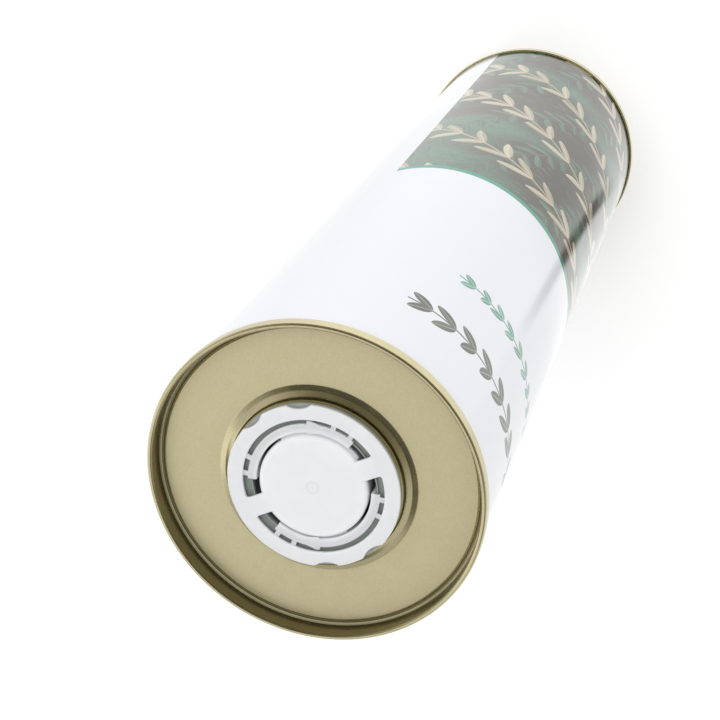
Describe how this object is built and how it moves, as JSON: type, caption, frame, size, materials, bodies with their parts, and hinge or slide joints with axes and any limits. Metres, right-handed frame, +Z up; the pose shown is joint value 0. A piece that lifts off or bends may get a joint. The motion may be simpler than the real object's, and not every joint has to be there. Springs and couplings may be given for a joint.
{
  "type": "oil tin with spout",
  "caption": "Tall round double-seamed oil tin with a recessed gold end and a flush white screw cap over a pull-up pouring spout.",
  "frame": {"origin": "middle of the ring that the tin stands on, at the bottom of the bottom seam", "axes": "+Z up along the tin's axis to the cap; -Y towards the side that the picture looks from; the cap's bridges lie along azimuth 55.5 degrees from +X"},
  "size_m": [0.0746, 0.0746, 0.26],
  "materials": {
    "printed_sheet": "white gloss print on tinplate",
    "gold_lacquer": "satin gold lacquer on tinplate",
    "white_plastic": "satin moulded polyethylene",
    "grey_plastic": "satin moulded polyethylene",
    "seal": "matte sealing compound",
    "liner_foam": "matte foamed liner"
  },
  "bodies": {
    "tin": {"tin_body": "printed_sheet", "top_end": "gold_lacquer", "bottom_end": "gold_lacquer", "top_seam_compound": "seal", "bottom_seam_compound": "seal", "spout_collar": "grey_plastic", "neck_gasket": "seal"},
    "pourer": {"spout": "white_plastic", "spout_wiper": "seal"},
    "cap_carrier": {"cap_liner": "liner_foam"},
    "screw_cap": {"cap": "white_plastic"}
  },
  "joints": [
    {"name": "spout_pull", "type": "slide", "parent": "tin", "child": "pourer", "axis": [0, 0, 1], "range_m": [0, 0.0193]},
    {"name": "cap_rise", "type": "slide", "parent": "pourer", "child": "cap_carrier", "axis": [0, 0, 1], "range_m": [0, 0.0064]},
    {"name": "cap_turn", "type": "hinge", "parent": "cap_carrier", "child": "screw_cap", "pos_m": [0, 0, 0.2596], "axis": [0, 0, 1], "range_deg": [0, 721]}
  ],
  "couplings": [
    {"joint": "cap_turn", "follows": "cap_rise", "rad_per_m": 1963.5}
  ]
}
